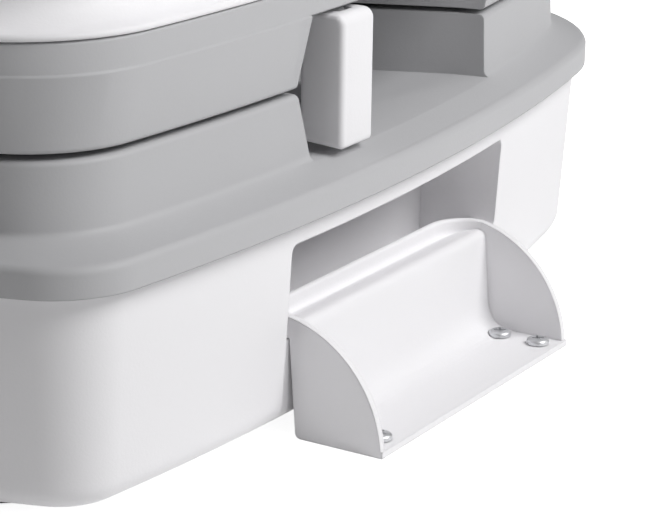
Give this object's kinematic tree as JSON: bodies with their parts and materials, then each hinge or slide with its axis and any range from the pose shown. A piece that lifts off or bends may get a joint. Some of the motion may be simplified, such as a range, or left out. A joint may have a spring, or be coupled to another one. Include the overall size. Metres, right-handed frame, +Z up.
{
  "type": "portable toilet",
  "caption": "Low two-piece portable toilet: white flush tank with bowl, seat and lid, latched onto a grey and white waste tank held down by floor brackets.",
  "frame": {"origin": "on the floor, under the middle of the bounding box", "axes": "+Z up, the front of the toilet faces -Y, the hinge of the seat is at the rear, the hold-down brackets stand at +X and -X"},
  "size_m": [0.3784, 0.382, 0.314],
  "materials": {
    "white_plastic": "moulded, fine satin grain",
    "grey_plastic": "moulded, fine satin grain",
    "dark_plastic": "moulded, satin",
    "clear_plastic": "moulded, clear",
    "rubber": "moulded, matt",
    "stainless": "cold formed, plain"
  },
  "bodies": {
    "body": {"waste_tank_lower_shell": "white_plastic", "waste_tank_upper_shell": "grey_plastic", "flush_tank_lower_shell": "grey_plastic", "flush_tank_upper_shell": "white_plastic", "level_window": "clear_plastic", "bowl": "white_plastic", "outlet_seal": "rubber", "rim_nozzle": "white_plastic", "hinge_pin": "dark_plastic", "hinge_cap_right": "white_plastic", "hinge_cap_left": "white_plastic", "filler_neck": "grey_plastic", "pump_housing": "grey_plastic", "pump_bellows": "rubber", "flush_pipe": "white_plastic", "valve_housing": "dark_plastic", "valve_seal": "rubber", "vent_housing": "grey_plastic", "vent_seal": "rubber", "latch_pin_right": "stainless", "latch_pin_left": "stainless", "bracket_right": "white_plastic", "screw_right_1": "stainless", "screw_right_2": "stainless", "screw_right_3": "stainless", "screw_right_4": "stainless", "bracket_left": "white_plastic", "screw_left_1": "stainless", "screw_left_2": "stainless", "screw_left_3": "stainless", "screw_left_4": "stainless", "foot_1": "rubber", "foot_2": "rubber", "foot_3": "rubber", "foot_4": "rubber"},
    "seat_body": {"seat": "white_plastic", "seat_buffer_1": "rubber", "seat_buffer_2": "rubber", "seat_buffer_3": "rubber", "seat_buffer_4": "rubber"},
    "lid_body": {"lid": "white_plastic"},
    "filler_cap_body": {"filler_cap": "grey_plastic"},
    "pump_button_body": {"pump_button": "grey_plastic"},
    "valve_body": {"valve_blade": "white_plastic", "valve_handle": "grey_plastic"},
    "spout_body": {"pour_spout": "grey_plastic"},
    "spout_cap_body": {"spout_cap": "dark_plastic", "spout_seal": "rubber"},
    "vent_button_body": {"vent_button": "dark_plastic"},
    "latch_right_body": {"latch_right": "white_plastic"},
    "latch_left_body": {"latch_left": "white_plastic"}
  },
  "joints": [
    {"name": "seat_hinge", "type": "hinge", "parent": "body", "child": "seat_body", "pos_m": [0, 0.166, 0.298], "axis": [-1, 0, 0], "range_deg": [0, 88]},
    {"name": "lid_hinge", "type": "hinge", "parent": "seat_body", "child": "lid_body", "pos_m": [0, 0.166, 0.298], "axis": [-1, 0, 0], "range_deg": [0, 95]},
    {"name": "pump_push", "type": "slide", "parent": "body", "child": "pump_button_body", "axis": [0, 0, -1], "range_m": [0, 0.022], "stiffness_N_per_m": 350, "springref_m": -0.004, "deforming": ["pump_bellows"]},
    {"name": "valve_slide", "type": "slide", "parent": "body", "child": "valve_body", "axis": [0, -1, 0], "range_m": [0, 0.1]},
    {"name": "filler_cap_turn", "type": "hinge", "parent": "body", "child": "filler_cap_body", "pos_m": [-0.086, 0.133, 0.2837], "axis": [0, 0, 1], "range_deg": [0, 90]},
    {"name": "spout_swivel", "type": "hinge", "parent": "body", "child": "spout_body", "pos_m": [-0.075, 0.15, 0.101], "axis": [0, 0, 1], "range_deg": [0, 90]},
    {"name": "spout_cap_turn", "type": "hinge", "parent": "spout_body", "child": "spout_cap_body", "pos_m": [0.005, 0.15, 0.101], "axis": [1, 0, 0], "range_deg": [0, 90]},
    {"name": "vent_push", "type": "slide", "parent": "body", "child": "vent_button_body", "axis": [0, 0, -1], "range_m": [0, 0.0035], "stiffness_N_per_m": 400, "springref_m": -0.002},
    {"name": "latch_right_hinge", "type": "hinge", "parent": "body", "child": "latch_right_body", "pos_m": [0.153, -0.0352, 0.1115], "axis": [0, -1, 0], "range_deg": [0, 22]},
    {"name": "latch_left_hinge", "type": "hinge", "parent": "body", "child": "latch_left_body", "pos_m": [-0.153, -0.0352, 0.1115], "axis": [0, 1, 0], "range_deg": [0, 22]}
  ]
}
